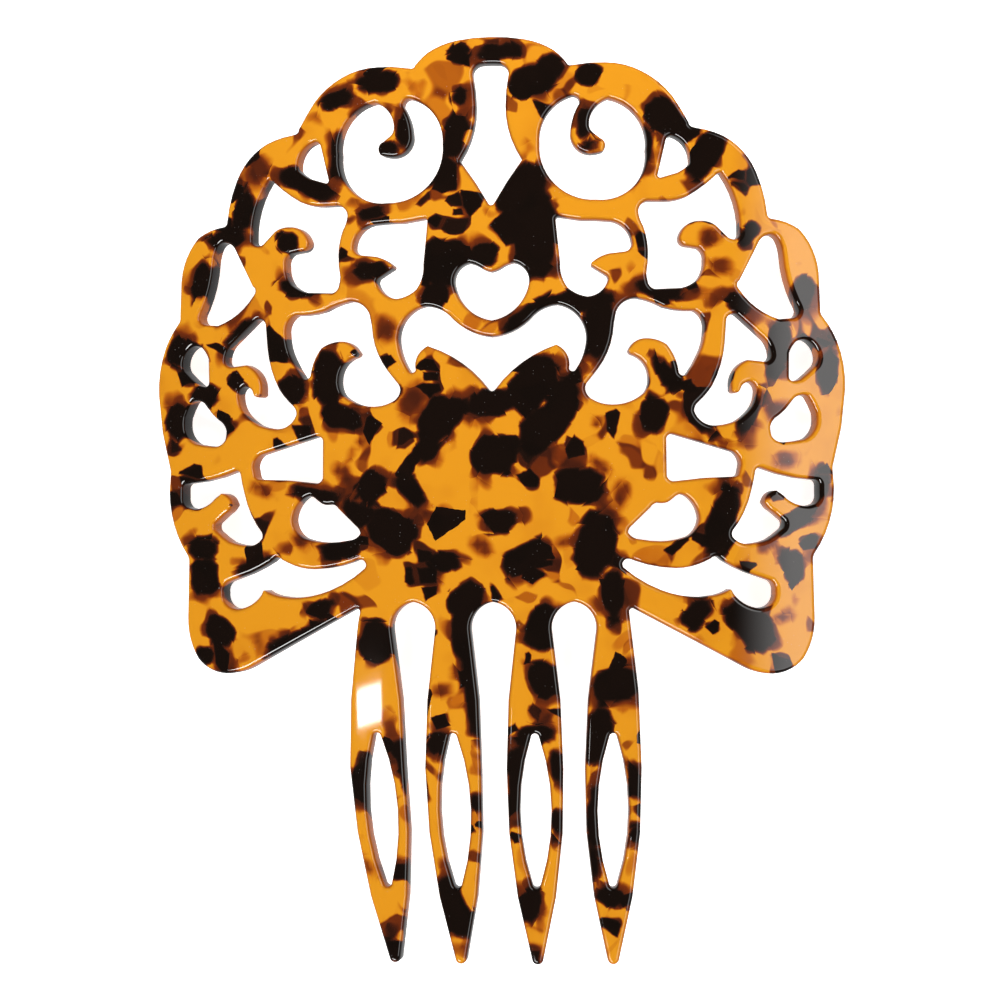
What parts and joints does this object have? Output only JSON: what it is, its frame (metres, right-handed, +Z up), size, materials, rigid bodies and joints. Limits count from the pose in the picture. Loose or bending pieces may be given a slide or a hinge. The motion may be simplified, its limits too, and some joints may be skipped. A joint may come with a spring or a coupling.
{
  "type": "hair comb",
  "caption": "Curved back comb for the hair with a pierced, scalloped head of scrolls, commas and leaves and long slotted teeth, in glossy tortoise-pattern acetate.",
  "frame": {"origin": "middle of the bounding box in X and Y, at the resting plane in Z", "axes": "+X across the comb, +Y from the tooth tips to the crown, +Z up, out of the convex face"},
  "size_m": [0.1148, 0.15, 0.0164],
  "materials": {
    "acetate": "high gloss, clear amber with near-black brown flakes in its depth"
  },
  "bodies": {
    "root": {"comb": "acetate"}
  },
  "joints": []
}
